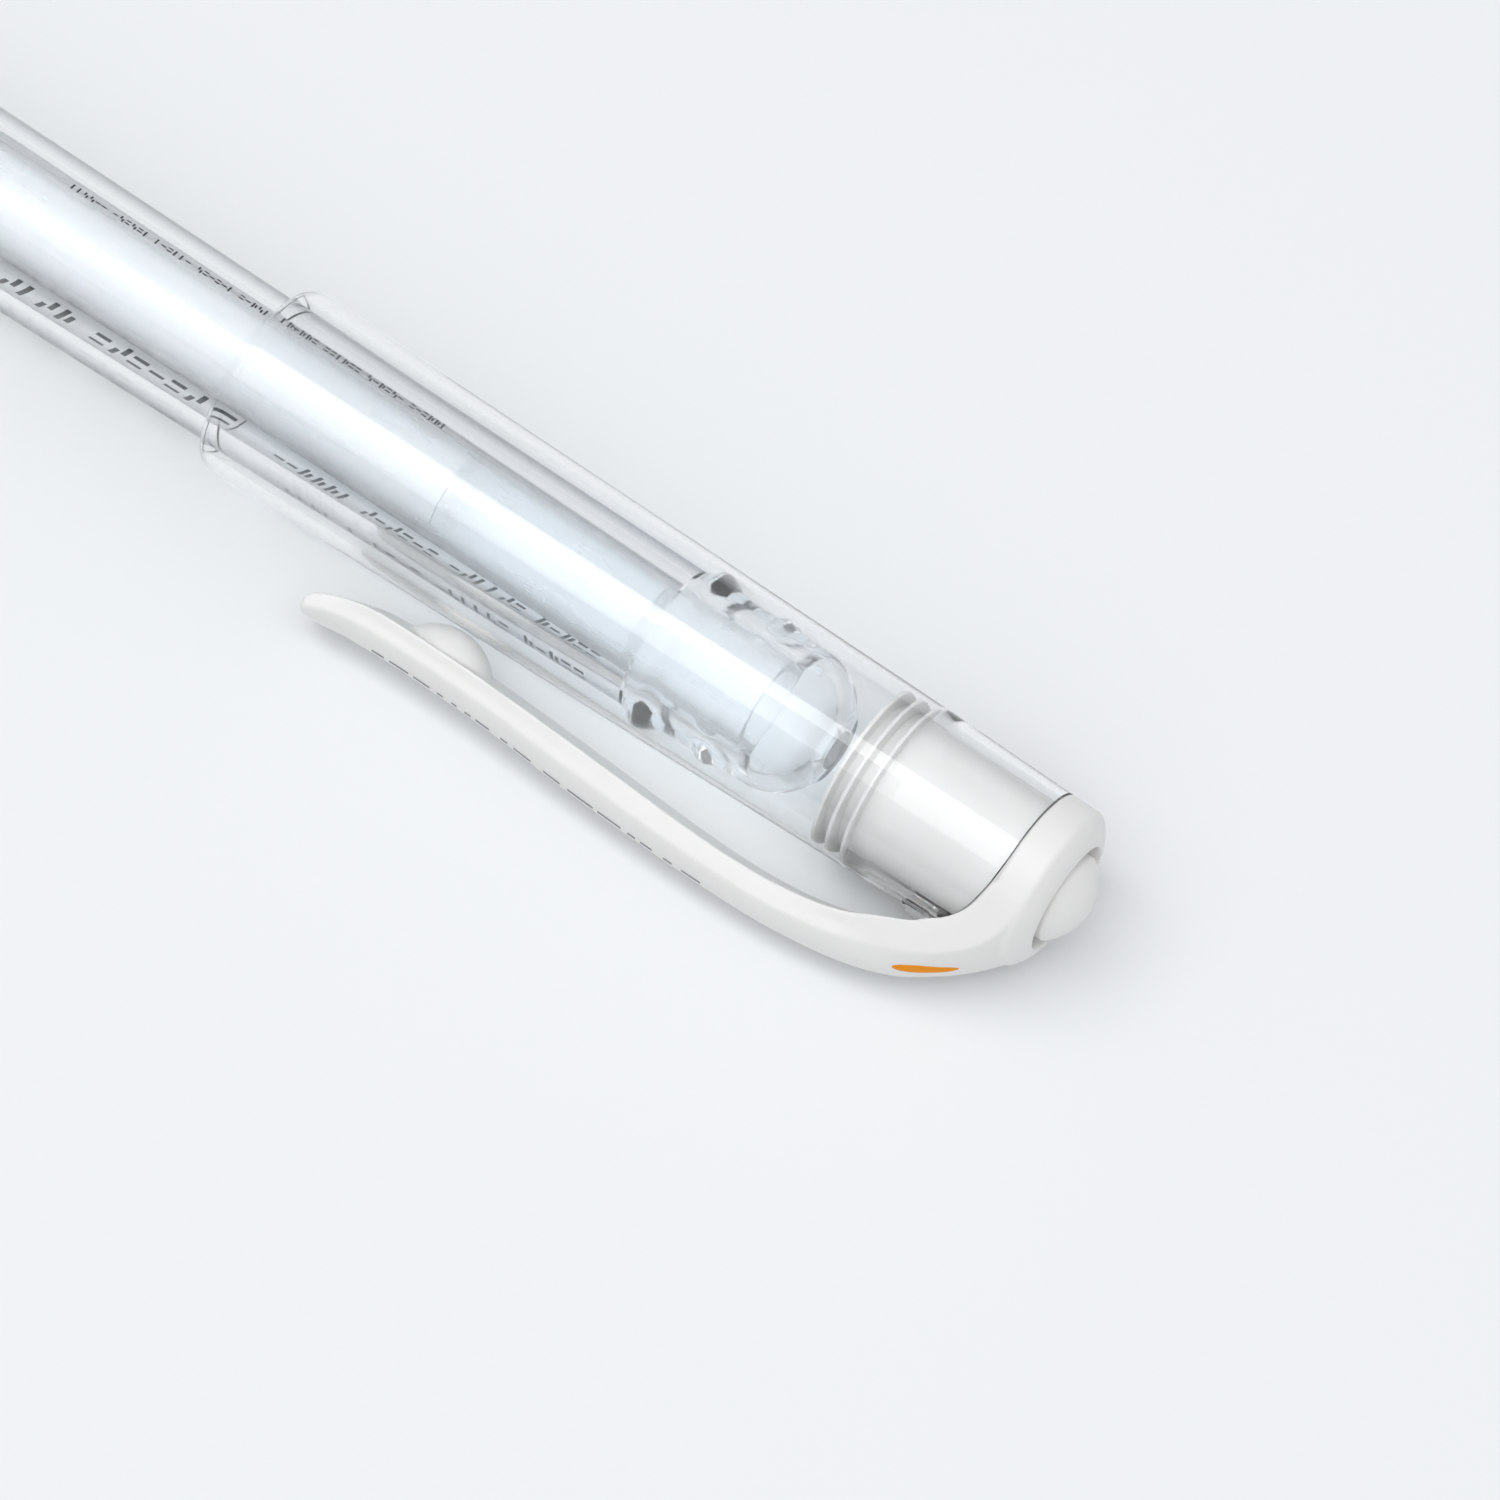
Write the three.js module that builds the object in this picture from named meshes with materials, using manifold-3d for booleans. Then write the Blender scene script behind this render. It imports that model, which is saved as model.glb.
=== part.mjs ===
// A capped gel-ink stick pen with its cap posted on the tail, lying along X.
// Millimetres, +Z up, +X from the writing tip towards the cap's crown.
// Lengths along the pen are measured from the cap's mouth, so the crown side is positive.
import * as THREE from 'three';
import { mergeVertices } from 'three/addons/utils/BufferGeometryUtils.js';
import Module from 'manifold-3d';

const wasm = await Module();
wasm.setup();

// Overall lengths
const capLength = 55.5;            // mouth to the top of the crown's dome
const postedDepth = 38.9;          // how far the barrel's tail goes into the posted cap
const bodyLength = 142.0;          // ball to tail plug, without the cap
const tipX = postedDepth - bodyLength;

// Barrel
const shoulderX = -53.0;           // where the cap's mouth lands when the pen is capped
const barrelFrontX = -87.7;
const barrelRearX = 27.6;
const barrelBoreR = 3.75;
const gripSeatR = 4.35;
const gripR = 4.85;
const gripRibs = 12;
const gripStartX = -85.9;
const gripEndX = -58.2;

// Refill
const refillR = 2.8;
const refillBoreR = 2.35;
const inkR = 2.3;
const refillFrontX = -90.0;
const refillRearX = 34.5;
const inkEndX = 13.3;
const followerEndX = 26.5;
const fluidGap = 0.06;
const refillBow = 0.62;            // the soft tube bows sideways by this much inside the barrel

// Ball point
const ballR = 0.5;
const ballX = tipX + ballR;

// Cap
const capMouthR = 5.8;
const capBoreR = 4.98;
const crownX = 51.3;
const crownHoleR = 3.2;
const domeR = 2.65;

// Clip
const clipRoll = THREE.MathUtils.degToRad(24);   // how far the clip hangs below the horizontal
const clipAngle = Math.PI + clipRoll;            // turn about X that takes +Y to the clip's side
const clipWidth = 4.6;
const clipBumpX = 17.7;
const clipBumpR = 3.3;
const clipBumpCrestR = 5.62;
const clipBumpHeight = 1.9;
const clipSteps = 22;
const clipArmEnd = 0.96;           // the arm stops here along its curve, and the crown's root
const clipRootStart = 0.97;        // starts here: the gap between them is where the clip flexes

const SEGMENTS = 32;
const COARSE = 24;

function material(hex, roughness, metalness = 0, opacity = 1) {
  return new THREE.MeshStandardMaterial({
    color: hex, roughness, metalness, opacity, transparent: opacity < 1,
  });
}

const clearPlastic = () => material(0xe4ebf0, 0.08, 0, 0.35);
const frosted = () => material(0xdfe7ec, 0.35, 0, 0.5);
const whitePlastic = () => material(0xf3f2ec, 0.4);

// Twice the signed area of a closed outline of [x, r] points.
function turnOf(outline) {
  return outline.reduce((sum, [x, r], i) => {
    const [nx, nr] = outline[(i + 1) % outline.length];
    return sum + x * nr - nx * r;
  }, 0);
}

// A body of revolution about X from a closed outline of [x, r] points.
function turned(outline, segments = SEGMENTS) {
  const loop = turnOf(outline) > 0 ? [...outline].reverse() : [...outline];
  const onAxis = loop.findIndex(([, r]) => r === 0);
  const start = onAxis < 0 ? 0 : (loop.findIndex(([, r], i) => r === 0
    && loop[(i + 1) % loop.length][1] > 0));
  const points = loop.map((_, i) => loop[(start + i) % loop.length]);
  if (onAxis < 0) points.push(points[0]);
  const profile = points.map(([x, r]) => new THREE.Vector2(r, x));
  const geometry = new THREE.LatheGeometry(profile, segments);
  geometry.rotateZ(-Math.PI / 2);
  return geometry;
}

// Points of a circular arc in the [x, r] plane, from angle a to angle b in degrees.
function arc(cx, cr, radius, a, b, steps = 5) {
  return Array.from({ length: steps + 1 }, (_, i) => {
    const angle = THREE.MathUtils.degToRad(a + ((b - a) * i) / steps);
    return [cx + radius * Math.cos(angle), cr + radius * Math.sin(angle)];
  });
}

function toSolid(geometry) {
  const bare = geometry.index ? geometry.toNonIndexed() : geometry.clone();
  bare.deleteAttribute('normal');
  bare.deleteAttribute('uv');
  const merged = mergeVertices(bare, 1e-5);
  const kept = [];
  const index = merged.index.array;
  for (let i = 0; i < index.length; i += 3) {
    const [a, b, c] = [index[i], index[i + 1], index[i + 2]];
    if (a !== b && b !== c && c !== a) kept.push(a, b, c);
  }
  return new wasm.Manifold(new wasm.Mesh({
    numProp: 3,
    vertProperties: new Float32Array(merged.attributes.position.array),
    triVerts: new Uint32Array(kept),
  }));
}

function toGeometry(solid) {
  const mesh = solid.getMesh();
  const geometry = new THREE.BufferGeometry();
  geometry.setAttribute('position', new THREE.BufferAttribute(mesh.vertProperties, 3));
  geometry.setIndex(new THREE.BufferAttribute(mesh.triVerts, 1));
  geometry.computeVertexNormals();
  return geometry;
}

function named(name, geometry, look) {
  const mesh = new THREE.Mesh(geometry, look);
  mesh.name = name;
  return mesh;
}

// ---- Barrel group ----

// Long clear tube: grip seat in front, shoulder for the cap's mouth, slow taper to the tail.
function barrelTube() {
  const counterboreX = 25.2;
  return turned([
    [barrelFrontX, barrelBoreR],
    [barrelFrontX, 4.55],
    [barrelFrontX + 0.3, 4.75],
    [barrelFrontX + 1.5, 4.75],
    [barrelFrontX + 1.5, gripSeatR],
    [gripEndX + 0.3, gripSeatR],
    [gripEndX + 0.3, 4.8],
    [shoulderX, 4.84],
    [shoulderX, 5.2],
    [shoulderX + 0.3, 5.26],
    [-17.5, 4.8],
    [4, 4.55],
    [barrelRearX, 4.3],
    [barrelRearX, 3.72],
    [counterboreX, 3.72],
    [counterboreX, 3.1],
    [9, 3.42],
    [-3.3, 3.52],
    [-18, barrelBoreR],
  ]);
}

// Clear stopper in the tail: flange bead, notched snap bead for the posted cap, small fins that
// stop the refill, and a hollow domed end with a vent.
function tailPlug() {
  const boreR = 3.08;
  const ventR = 1.15;
  const beadX = 28.8;
  const snapX = 33.1;
  const domeX = 35.6;
  const outline = [
    [25.6, boreR],
    [25.5, 3.6],
    [barrelRearX - 0.1, 3.66],
    [barrelRearX + 0.1, 3.66],
    [barrelRearX + 0.1, 4.4],
    ...arc(beadX, 4.36, 0.6, 130, 50, 4),
    [30.0, 4.4],
    [32.0, 4.38],
    ...arc(snapX, 4.15, 0.5, 150, 30, 3),
    [34.3, 4.27],
    ...arc(domeX, 1.0, 3.27, 90, 25, 5),
    [postedDepth, 2.1],
    [postedDepth, ventR],
    [postedDepth - 0.9, ventR],
    ...arc(domeX - 0.1, 1.0, 2.35, 25, 85, 5),
    [34.9, boreR],
  ];
  const notches = 8;
  const stopFins = 2;
  let solid = toSolid(turned(outline));
  for (let i = 0; i < stopFins; i += 1) {
    const fin = new THREE.BoxGeometry(1.2, 1.3, 0.35);
    fin.translate(35.5, 2.9, 0);
    fin.rotateX(clipAngle + (2 * Math.PI * i) / stopFins);
    solid = solid.add(toSolid(fin));
  }
  for (let i = 0; i < notches; i += 1) {
    const notch = new THREE.BoxGeometry(1.5, 1.0, 1.0);
    notch.translate(snapX, 0, 4.75);
    notch.rotateX((2 * Math.PI * (i + 0.5)) / notches);
    solid = solid.subtract(toSolid(notch));
  }
  return toGeometry(solid);
}

// Soft sleeve with ring grooves, held between the front flange and the shoulder land.
function gripSleeve() {
  const pitch = (gripEndX - gripStartX - 6) / gripRibs;
  const inner = gripSeatR + 0.08;
  const grooveDepth = 0.24;
  const outline = [[gripStartX, inner], [gripStartX, gripR - 0.2], [gripStartX + 0.3, gripR]];
  for (let i = 0; i < gripRibs; i += 1) {
    const x = gripStartX + 2 + i * pitch;
    outline.push([x, gripR], [x + 0.5, gripR - grooveDepth], [x + 1.0, gripR]);
  }
  outline.push([gripEndX - 0.3, gripR], [gripEndX, gripR - 0.2], [gripEndX, inner]);
  return turned(outline, COARSE);
}

// Front cone that screws into the barrel and holds the refill's tip.
function noseCone() {
  const spigotR = 3.66;
  return turned([
    [-101.0, 1.3],
    [-101.0, 1.7],
    [-100.7, 1.95],
    [-97, 2.75],
    [-93, 3.6],
    [-88.6, 4.42],
    [barrelFrontX - 0.15, 4.5],
    [barrelFrontX - 0.15, spigotR],
    [-82.2, spigotR],
    [-82.0, 3.5],
    [-82.0, 3.0],
    [-91.6, 3.0],
    [-97.3, 1.85],
    [-98.0, 1.3],
  ]);
}

// ---- Refill group ----

// Sideways shift of the soft tube at a place along it: held at both ends, bowed between.
function bowAt(x) {
  const along = (x - refillFrontX) / (refillRearX - refillFrontX);
  return refillBow * Math.sin(Math.PI * THREE.MathUtils.clamp(along, 0, 1));
}

function bowed(geometry) {
  const place = geometry.attributes.position;
  for (let i = 0; i < place.count; i += 1) {
    place.setY(i, place.getY(i) + bowAt(place.getX(i)));
  }
  geometry.computeVertexNormals();
  return geometry;
}

// Evenly spaced stations from one place to another, so that a long piece can bow.
function stations(from, to, r, count) {
  return Array.from({ length: count + 1 }, (_, i) => [from + ((to - from) * i) / count, r]);
}

function refillTube() {
  return bowed(turned([
    ...stations(refillFrontX, refillRearX, refillR, 12),
    ...stations(refillRearX, refillFrontX, refillBoreR, 12),
  ], COARSE));
}

function fluid(from, to, dish, count) {
  return bowed(turned([
    [from, 0],
    ...stations(from, to, inkR, count),
    [to - dish, inkR * 0.55],
    [to - dish * 1.4, 0],
  ], COARSE));
}

// Moulded joint between the tube and the metal point.
function tipHolder() {
  return turned([
    [-85.6, 1.3],
    [-85.4, 1.9],
    [-85.6, 2.25],
    [refillFrontX - 0.05, 2.27],
    [refillFrontX - 0.05, refillR],
    [-91.4, refillR],
    [-97.0, 1.7],
    [-97.0, 1.2],
    [-94.6, 1.2],
    [-94.4, 0.7],
    [-88, 0.8],
  ], COARSE);
}

// Turned metal point: shank, cone, and the crimped socket that holds the ball.
function tipCone() {
  return turned([
    [-94.7, 0.62],
    [-94.7, 1.14],
    [-100.9, 1.14],
    [ballX - 0.25, 0.62],
    [ballX - 0.25, 0.48],
    [ballX - 0.1, 0.56],
    [ballX + 0.48, 0.56],
    [ballX + 0.55, 0.3],
    [-101.5, 0.3],
    [-101.4, 0.62],
  ], 20);
}

// Fine spring behind the ball: a straight feeler at the front that opens into a coil.
class TipSpringPath extends THREE.Curve {
  getPoint(t, target = new THREE.Vector3()) {
    const turns = 7;
    const coilR = 0.4 * THREE.MathUtils.smoothstep(t, 0.12, 0.24);
    const angle = 2 * Math.PI * turns * THREE.MathUtils.smoothstep(t, 0.1, 1.0);
    const x = ballX + ballR + 0.12 + 6.2 * t;
    return target.set(x, coilR * Math.cos(angle), coilR * Math.sin(angle));
  }
}

function tipSpring() {
  const wireR = 0.09;
  const section = new THREE.Shape();
  section.absarc(0, 0, wireR, 0, 2 * Math.PI, false);
  return new THREE.ExtrudeGeometry(section, {
    steps: 80, curveSegments: 3, bevelEnabled: false, extrudePath: new TipSpringPath(),
  });
}

function writingBall() {
  const ball = new THREE.SphereGeometry(ballR, 16, 12);
  ball.translate(ballX, 0, 0);
  return ball;
}

// ---- Cap group ----

// The crown's near edge seen from the side, from the clip's inner face to the far side of the pen:
// places along the pen and distances out along the clip's direction.
const crownEdge = [
  [48.0, 5.35], [48.5, 4.95], [49.75, 4.07], [50.45, 3.17], [50.85, 2.2], [51.15, 1.0], [crownX, -0.5],
];

// A slab cut to an outline in the clip's own plane: [along, out] points.
function sidePrism(outline, halfWidth) {
  const shape = new THREE.Shape(outline.map(([x, out]) => new THREE.Vector2(x, out)));
  const prism = new THREE.ExtrudeGeometry(shape, { depth: 2 * halfWidth, bevelEnabled: false });
  prism.translate(0, 0, -halfWidth);
  return prism;
}

// Clear outer cap: rounded mouth, long bore, and an end cut back to meet the crown's curved edge.
function capShell() {
  const endWallR = 4.5;
  const shell = turned([
    [0, capBoreR + 0.1],
    [0, 5.5],
    [0.35, 5.72],
    [1.0, capMouthR],
    [9, 5.65],
    [20.5, 5.48],
    [27, 5.39],
    [42, 5.15],
    [crownX, 4.9],
    [crownX, endWallR],
    [44.2, 4.6],
    [43.0, capBoreR],
    [0.8, capBoreR],
  ]);
  shell.rotateX(-clipAngle);
  const gap = 0.18;
  const cut = sidePrism([
    [47.4 - gap, 6.0],
    ...crownEdge.map(([x, out]) => [x - gap, out]),
    [crownX - gap, -6],
    [56, -6],
    [56, 6],
  ], 6);
  const trimmed = toGeometry(toSolid(shell).subtract(toSolid(cut)));
  trimmed.rotateX(clipAngle);
  return trimmed;
}

// White inner cap: a sleeve with thin flanges at its mouth, closed behind the tip.
function innerCap() {
  const mouthX = 40.6;
  const flangeXs = [mouthX, 41.5, 42.5];
  const wallR = 4.06;
  const outline = [];
  flangeXs.forEach((x) => {
    outline.push([x, wallR], [x + 0.08, 4.85], [x + 0.3, 4.85], [x + 0.38, wallR]);
  });
  return turned([
    ...outline,
    [crownX - 0.1, wallR],
    [crownX - 0.1, 0],
    [50.6, 0],
    [50.6, 3.2],
    [mouthX, 3.4],
  ]);
}

// Soft pad that the ball rests against when the pen is capped.
function tipSeal() {
  return turned([[49.3, 0], [49.3, 2.6], [50.5, 3.05], [50.5, 0]], COARSE);
}

// Side view of the clip: inner and outer distance from the pen's axis at places along it.
const clipInner = new THREE.SplineCurve([
  [9.3, 9.35], [9.9, 8.1], [12.4, 7.25], [15, 7.05], [20.4, 7.08], [27.8, 7.42],
  [35, 7.8], [39, 7.8], [42, 7.5], [44.4, 6.95], [46.3, 6.1], [48, 5.35],
].map(([x, r]) => new THREE.Vector2(x, r)));
const clipOuter = new THREE.SplineCurve([
  [9.3, 9.6], [10.7, 9.6], [12.4, 9.42], [16.4, 9.33], [22, 9.5], [27.8, 9.93],
  [34, 10.18], [39, 10.2], [42.2, 10.0], [45.5, 9.5], [48.3, 8.6], [50.4, 7.3],
].map(([x, r]) => new THREE.Vector2(x, r)));

// A straight D-section bar bent so that its flat side follows one curve and its crown another.
function clipBar(from, to, steps) {
  const flank = 0.5;
  const half = clipWidth / 2;
  const section = new THREE.Shape();
  section.moveTo(-half, 0);
  section.lineTo(half, 0);
  section.lineTo(half, flank);
  section.quadraticCurveTo(half * 0.8, 1, 0, 1);
  section.quadraticCurveTo(-half * 0.8, 1, -half, flank);
  section.closePath();
  const bar = new THREE.ExtrudeGeometry(section, {
    steps, depth: 1, curveSegments: 4, bevelEnabled: false,
  });
  const place = bar.attributes.position;
  const low = new THREE.Vector2();
  const high = new THREE.Vector2();
  for (let i = 0; i < place.count; i += 1) {
    const along = from + (to - from) * place.getZ(i);
    const across = place.getX(i);
    const up = place.getY(i);
    clipInner.getPoint(along, low);
    clipOuter.getPoint(along, high);
    const tip = Math.sqrt(THREE.MathUtils.clamp(along / 0.05 + 0.12, 0, 1));
    const x = THREE.MathUtils.lerp(low.x, high.x, up);
    place.setXYZ(i, x, THREE.MathUtils.lerp(low.y, high.y, up), -across * tip);
  }
  bar.computeVertexNormals();
  return bar;
}

function clipArm() {
  const bump = new THREE.SphereGeometry(clipBumpR, 20, 14);
  bump.scale(1, 1, 0.75);
  bump.translate(clipBumpX, clipBumpCrestR + clipBumpR, 0);
  const lidHeight = 2 * clipBumpR;
  const lid = new THREE.BoxGeometry(3 * clipBumpR, lidHeight, 3 * clipBumpR);
  lid.translate(clipBumpX, clipBumpCrestR + clipBumpHeight + lidHeight / 2, 0);
  const knob = toSolid(bump).subtract(toSolid(lid));
  return toGeometry(toSolid(clipBar(0, clipArmEnd, clipSteps)).add(knob));
}

// Outside of the crown and its root: the ring's rounded end swept over to the foot of the clip.
function crownBlank() {
  const ring = turned([
    [47, 0],
    [47, 4.9],
    ...arc(crownX + 0.5, 2.9, 2.0, 84, 20, 6),
    [crownX + 2.8, crownHoleR + 0.1],
    [crownX + 2.8, 0],
  ]);
  const heelR = 1.6;
  const heel = new THREE.CylinderGeometry(heelR, heelR, clipWidth - 0.6, 16);
  heel.rotateX(Math.PI / 2);
  heel.translate(50.5, 5.3, 0);
  const foot = clipBar(clipRootStart, 1, 2);
  return wasm.Manifold.hull([toSolid(ring), toSolid(heel), toSolid(foot)]);
}

// White crown ring with the root that the clip arm springs from, hollow for the inner cap.
function capCrown() {
  const footInner = clipInner.getPoint(clipRootStart);
  const footOuter = clipOuter.getPoint(clipRootStart);
  const farX = 56;
  const farOut = 9;
  const profile = sidePrism([
    ...crownEdge,
    [crownX, -6],
    [farX, -6],
    [farX, farOut],
    [footOuter.x, farOut],
    [footOuter.x, footOuter.y],
    [footInner.x, footInner.y],
  ], 6);
  const bore = turned([
    [46, 0],
    [46, 4.2],
    [crownX, 4.2],
    [crownX, crownHoleR],
    [farX, crownHoleR],
    [farX, 0],
  ]);
  return toGeometry(crownBlank().intersect(toSolid(profile)).subtract(toSolid(bore)));
}

// Domed stopper that fills the crown's hole.
function crownPlug() {
  const seatX = crownX + 0.15;
  const rise = 1.35;
  const sphereR = (domeR * domeR + rise * rise) / (2 * rise);
  const edge = THREE.MathUtils.radToDeg(Math.asin(domeR / sphereR));
  return turned([
    [seatX, 0],
    [seatX, domeR],
    ...arc(capLength - sphereR, 0, sphereR, edge, 0, 6),
  ]);
}

// ---- Assembly ----

const barrel = new THREE.Group();
barrel.add(
  named('barrel_tube', barrelTube(), clearPlastic()),
  named('tail_plug', tailPlug(), clearPlastic()),
  named('grip_sleeve', gripSleeve(), material(0xe9ecec, 0.6, 0, 0.7)),
  named('nose_cone', noseCone(), clearPlastic()),
);

const refill = new THREE.Group();
refill.add(
  named('refill_tube', refillTube(), frosted()),
  named('ink_column', fluid(-85.0, inkEndX, 0.3, 11), material(0xf7f8f8, 0.5)),
  named('ink_follower', fluid(inkEndX + fluidGap, followerEndX, 0.3, 2), material(0xd5dde2, 0.2, 0, 0.6)),
  named('tip_holder', tipHolder(), frosted()),
  named('tip_cone', tipCone(), material(0xb9bcc0, 0.25, 1)),
  named('tip_spring', tipSpring(), material(0xa9acb0, 0.3, 1)),
  named('writing_ball', writingBall(), material(0x8d9094, 0.15, 1)),
);

const capUnit = new THREE.Group();
const clipSide = new THREE.Group();
clipSide.add(
  named('clip_arm', clipArm(), whitePlastic()),
  named('cap_crown', capCrown(), whitePlastic()),
);
clipSide.rotation.x = clipAngle;
capUnit.add(
  clipSide,
  named('cap_shell', capShell(), clearPlastic()),
  named('inner_cap', innerCap(), whitePlastic()),
  named('tip_seal', tipSeal(), material(0xdedede, 0.7)),
  named('crown_plug', crownPlug(), whitePlastic()),
);

const pen = new THREE.Group();
pen.add(barrel, refill, capUnit);
pen.updateMatrixWorld(true);
const bounds = new THREE.Box3().setFromObject(pen, true);
const centre = bounds.getCenter(new THREE.Vector3());
pen.position.set(-centre.x, -centre.y, -bounds.min.z);
pen.updateMatrixWorld(true);

export default pen;
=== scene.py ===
"""Looks of a clear gel-ink pen lying with its cap posted on the tail.

Lengths in the outlines are millimetres along the pen from the cap's mouth, and millimetres out
from the pen's axis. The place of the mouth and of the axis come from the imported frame.
"""
import math
import random

import bmesh
import bpy
from mathutils import Matrix, Vector
from mathutils.bvhtree import BVHTree


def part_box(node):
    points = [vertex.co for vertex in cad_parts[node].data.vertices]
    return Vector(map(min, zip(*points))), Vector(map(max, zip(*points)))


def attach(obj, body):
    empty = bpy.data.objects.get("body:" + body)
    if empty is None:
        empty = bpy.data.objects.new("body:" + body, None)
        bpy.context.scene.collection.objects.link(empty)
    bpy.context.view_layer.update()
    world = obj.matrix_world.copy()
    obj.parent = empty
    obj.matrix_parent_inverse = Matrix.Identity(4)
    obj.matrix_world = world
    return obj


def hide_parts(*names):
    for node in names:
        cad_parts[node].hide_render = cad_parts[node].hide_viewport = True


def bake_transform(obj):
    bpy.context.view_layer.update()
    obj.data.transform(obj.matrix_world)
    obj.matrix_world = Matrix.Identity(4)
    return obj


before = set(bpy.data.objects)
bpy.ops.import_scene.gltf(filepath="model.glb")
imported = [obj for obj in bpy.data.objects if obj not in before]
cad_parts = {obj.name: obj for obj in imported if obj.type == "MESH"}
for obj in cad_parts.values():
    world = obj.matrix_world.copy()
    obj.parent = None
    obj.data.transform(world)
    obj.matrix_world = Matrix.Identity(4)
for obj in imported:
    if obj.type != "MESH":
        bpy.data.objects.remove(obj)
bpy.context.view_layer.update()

MM = 0.001
FINE = 96           # segments round the axis of a small turned piece
VERY_FINE = 128     # segments round the axis of a large one
random.seed(7)

# ---- Frame: the pen's axis and the cap's mouth ----
plug_low, plug_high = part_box("crown_plug")
AXIS_Y = (plug_low.y + plug_high.y) / 2
AXIS_Z = (plug_low.z + plug_high.z) / 2
MOUTH_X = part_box("cap_shell")[0].x
TAIL = (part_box("tail_plug")[1].x - MOUTH_X) / MM
TIP = (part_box("writing_ball")[0].x - MOUTH_X) / MM
DOME_TOP = (plug_high.x - MOUTH_X) / MM
CLIP_ROLL = math.radians(24)              # how far the clip hangs below the horizontal
CLIP_DIRECTION = math.pi + CLIP_ROLL      # angle of the clip about the axis, from +Y towards +Z
CLIP_WIDTH = 4.6
CROWN_X = 51.3                            # where the crown's own round part starts
CROWN_END = 54.1
HOLE_R = 3.2                              # hole in the crown's end, round the dome


def place(x, r=0.0, angle=0.0):
    """A point in space, from its place along the pen, its radius and its angle, in millimetres."""
    return Vector((MOUTH_X + x * MM, AXIS_Y + r * MM * math.cos(angle), AXIS_Z + r * MM * math.sin(angle)))


# ---- Mesh helpers ----
SHARP_ANGLE = 38.0          # degrees; an edge that bends more is a hard edge
SMALLEST_TURN = 14.0        # degrees; an outline's gentler bends aren't rounded
FILLET_STEPS = 4
FILLET_SHARE = 0.45         # most of a neighbouring stretch that a rounded corner may take
SUPPORT_REACH = 1.6         # place of the point beside a rounded corner, in corner radii
SUPPORT_SHARE = 0.48        # most of a neighbouring stretch that it may stand along


def shade(bm, sharp_angle=SHARP_ANGLE):
    """Smooth shading with the hard edges kept."""
    limit = math.radians(sharp_angle)
    for face in bm.faces:
        face.smooth = True
    for edge in bm.edges:
        edge.smooth = len(edge.link_faces) != 2 or edge.calc_face_angle(0.0) < limit


def finish_mesh(name, bm):
    """Turns the faces outwards, shades them and makes the piece."""
    bmesh.ops.recalc_face_normals(bm, faces=bm.faces[:])
    shade(bm)
    mesh = bpy.data.meshes.new(name)
    bm.to_mesh(mesh)
    bm.free()
    piece = bpy.data.objects.new(name, mesh)
    bpy.context.scene.collection.objects.link(piece)
    return piece


def filleted(outline, radius):
    """The closed outline with each real corner rounded by a short curve.

    A support point just beside each curve keeps the long straight stretches straight in the shading.
    """
    rounded = []
    count = len(outline)
    for i, point in enumerate(outline):
        here = Vector(point)
        before = Vector(outline[i - 1]) - here
        after = Vector(outline[(i + 1) % count]) - here
        if here.y < 1e-6 or before.length < 1e-9 or after.length < 1e-9:
            rounded.append(tuple(here))
            continue
        turn = math.degrees(math.pi - before.angle(after))
        if turn < SMALLEST_TURN:
            rounded.append(tuple(here))
            continue
        reach = min(radius, FILLET_SHARE * before.length, FILLET_SHARE * after.length)
        start, end = (here + way.normalized() * reach for way in (before, after))
        first_support, last_support = (
            here + way.normalized() * min(SUPPORT_REACH * reach, SUPPORT_SHARE * way.length)
            for way in (before, after))
        rounded.append(tuple(first_support))
        for k in range(FILLET_STEPS + 1):
            t = k / FILLET_STEPS
            rounded.append(tuple(start * (1 - t) ** 2 + here * 2 * t * (1 - t) + end * t * t))
        rounded.append(tuple(last_support))
    return rounded


def arc(cx, cr, radius, first, last, steps):
    """Points of a circular arc, from angle first to angle last in degrees."""
    angles = [math.radians(first + (last - first) * i / steps) for i in range(steps + 1)]
    return [(cx + radius * math.cos(a), cr + radius * math.sin(a)) for a in angles]


def soft_bead(x, width, r, height):
    """A rounded ring bead that rises from radius r and falls back to it, without a corner."""
    steps = 14
    return [(x + width * (i / steps - 0.5), r + height * math.sin(math.pi * i / steps) ** 2)
            for i in range(steps + 1)]


def lathe_bm(outline, segments=FINE, shape=None):
    """A closed body of revolution about the pen's axis. shape(x, r, angle) may move the radius."""
    bm = bmesh.new()
    rings = []
    for x, r in outline:
        if r < 1e-6:
            rings.append([bm.verts.new(place(x))])
            continue
        ring = []
        for k in range(segments):
            angle = 2 * math.pi * k / segments
            ring.append(bm.verts.new(place(x, shape(x, r, angle) if shape else r, angle)))
        rings.append(ring)
    for i, ring in enumerate(rings):
        nxt = rings[(i + 1) % len(rings)]
        if len(ring) == 1 and len(nxt) == 1:
            continue
        for k in range(segments):
            j = (k + 1) % segments
            corners = [ring[k % len(ring)], ring[j % len(ring)], nxt[j % len(nxt)], nxt[k % len(nxt)]]
            bm.faces.new(list(dict.fromkeys(corners)))
    return bm


def lathe(name, outline, fillet=0.12, segments=FINE, shape=None):
    """A turned piece, with its outline's corners rounded by a fillet in millimetres."""
    body = filleted(outline, fillet) if fillet else outline
    return finish_mesh(name, lathe_bm(body, segments, shape))


def apply_modifiers(piece):
    graph = bpy.context.evaluated_depsgraph_get()
    mesh = bpy.data.meshes.new_from_object(piece.evaluated_get(graph))
    piece.modifiers.clear()
    piece.data = mesh


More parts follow.
